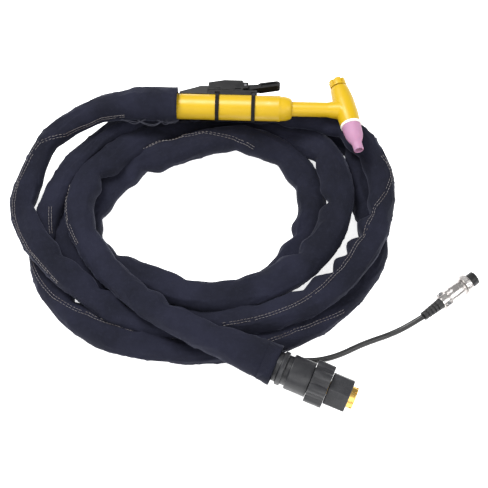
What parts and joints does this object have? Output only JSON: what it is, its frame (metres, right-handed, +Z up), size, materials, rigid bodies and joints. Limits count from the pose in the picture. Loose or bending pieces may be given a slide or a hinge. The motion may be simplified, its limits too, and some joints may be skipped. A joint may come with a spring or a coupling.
{
  "type": "tig torch",
  "caption": "TIG welding torch with trigger handle, ceramic nozzle, back cap, coiled cloth-covered hose package, power and gas connector and control plug.",
  "frame": {"origin": "where the electrode's axis crosses the handle's axis, in the torch head; the surface that the hose package lies on is 52 mm below it", "axes": "+X along the handle towards the head, +Y across the head towards the back cap, +Z up; the nozzle points mainly to -Y"},
  "size_m": [0.4395, 0.3327, 0.066],
  "materials": {
    "yellow_insulation": "moulded glass-filled phenolic, satin",
    "ceramic": "pink alumina, unglazed and slightly sugary",
    "gasket": "cream PTFE, matte",
    "brass": "turned brass",
    "copper": "turned copper alloy",
    "steel": "plated steel",
    "nickel": "satin nickel-plated zinc",
    "black_plastic": "fine moulded texture",
    "switch_body": "smooth moulded thermoset",
    "switch_red": "smooth",
    "connector_black": "moulded rubbery plastic, satin",
    "rubber": "matte rubber",
    "strap": "matte elastic band",
    "cable_sheath": "smooth PVC sheath",
    "cloth": "dark navy woven nylon, stitched along one edge"
  },
  "bodies": {
    "torch": {"head_shell": "yellow_insulation", "head_core": "brass", "neck_tube": "copper", "collet": "copper", "collet_body": "copper", "handle": "yellow_insulation", "hose_union": "brass", "hose_front": "rubber", "strap_rear": "strap", "strap_front": "strap", "switch_base": "black_plastic", "switch_housing": "black_plastic", "switch_cover": "black_plastic", "microswitch": "switch_body", "pivot_pin": "steel", "switch_tail": "rubber", "switch_wire": "cable_sheath", "cover_cuff": "cloth", "hose_cover": "cloth", "conn_flange": "connector_black", "conn_barrel": "connector_black", "union_clip": "steel", "contact_core": "brass", "core_o_ring": "rubber", "hose_ferrule": "steel", "hose_rear": "rubber", "control_cable": "cable_sheath", "plug_boot": "rubber", "plug_clamp": "nickel", "clamp_screws": "steel", "plug_shell": "nickel", "plug_insert": "black_plastic", "plug_contacts": "brass"},
    "trigger_lever": {"trigger": "black_plastic"},
    "plunger": {"switch_plunger": "switch_red"},
    "cap_seal": {"cap_o_ring": "rubber"},
    "cap": {"back_cap": "yellow_insulation"},
    "nozzle_seal": {"nozzle_gasket": "gasket"},
    "nozzle_cup": {"nozzle": "ceramic"},
    "coupling_ring": {"coupling_nut": "connector_black"},
    "gas_union": {"hex_sleeve": "connector_black", "union_nut": "brass"},
    "plug_coupling": {"plug_ring": "nickel"}
  },
  "joints": [
    {"name": "trigger_pivot", "type": "hinge", "parent": "torch", "child": "trigger_lever", "pos_m": [-0.0955, 0.0215, 0], "axis": [0, 0, -1], "range_deg": [0, 5.5], "stiffness_Nm_per_rad": 0.3, "springref_deg": -8.59},
    {"name": "plunger_slide", "type": "slide", "parent": "torch", "child": "plunger", "axis": [-1, 0, 0], "range_m": [0, 0.0004]},
    {"name": "cap_travel", "type": "slide", "parent": "torch", "child": "cap_seal", "axis": [-0.2588, 0.9659, 0], "range_m": [0, 0.0075]},
    {"name": "cap_turn", "type": "hinge", "parent": "cap_seal", "child": "cap", "pos_m": [0, 0, 0], "axis": [-0.2588, 0.9659, 0], "range_deg": [0, 1801]},
    {"name": "nozzle_travel", "type": "slide", "parent": "torch", "child": "nozzle_seal", "axis": [0.2588, -0.9659, 0], "range_m": [0, 0.0075]},
    {"name": "nozzle_turn", "type": "hinge", "parent": "nozzle_seal", "child": "nozzle_cup", "pos_m": [0, 0, 0], "axis": [0.2588, -0.9659, 0], "range_deg": [0, 1801]},
    {"name": "coupling_ring_spin", "type": "hinge", "parent": "torch", "child": "coupling_ring", "pos_m": [-0.061, -0.257, -0.024], "axis": [0.9317, -0.3391, -0.1305], "continuous": true},
    {"name": "gas_union_spin", "type": "hinge", "parent": "torch", "child": "gas_union", "pos_m": [-0.061, -0.257, -0.024], "axis": [0.9317, -0.3391, -0.1305], "continuous": true},
    {"name": "plug_coupling_spin", "type": "hinge", "parent": "torch", "child": "plug_coupling", "pos_m": [0.088, -0.181, -0.0425], "axis": [0.7547, 0.6561, 0], "continuous": true}
  ],
  "couplings": [
    {"joint": "plunger_slide", "follows": "trigger_pivot", "m_per_rad": 0.0038},
    {"joint": "cap_turn", "follows": "cap_travel", "rad_per_m": 4188.8},
    {"joint": "nozzle_turn", "follows": "nozzle_travel", "rad_per_m": 4188.8}
  ]
}
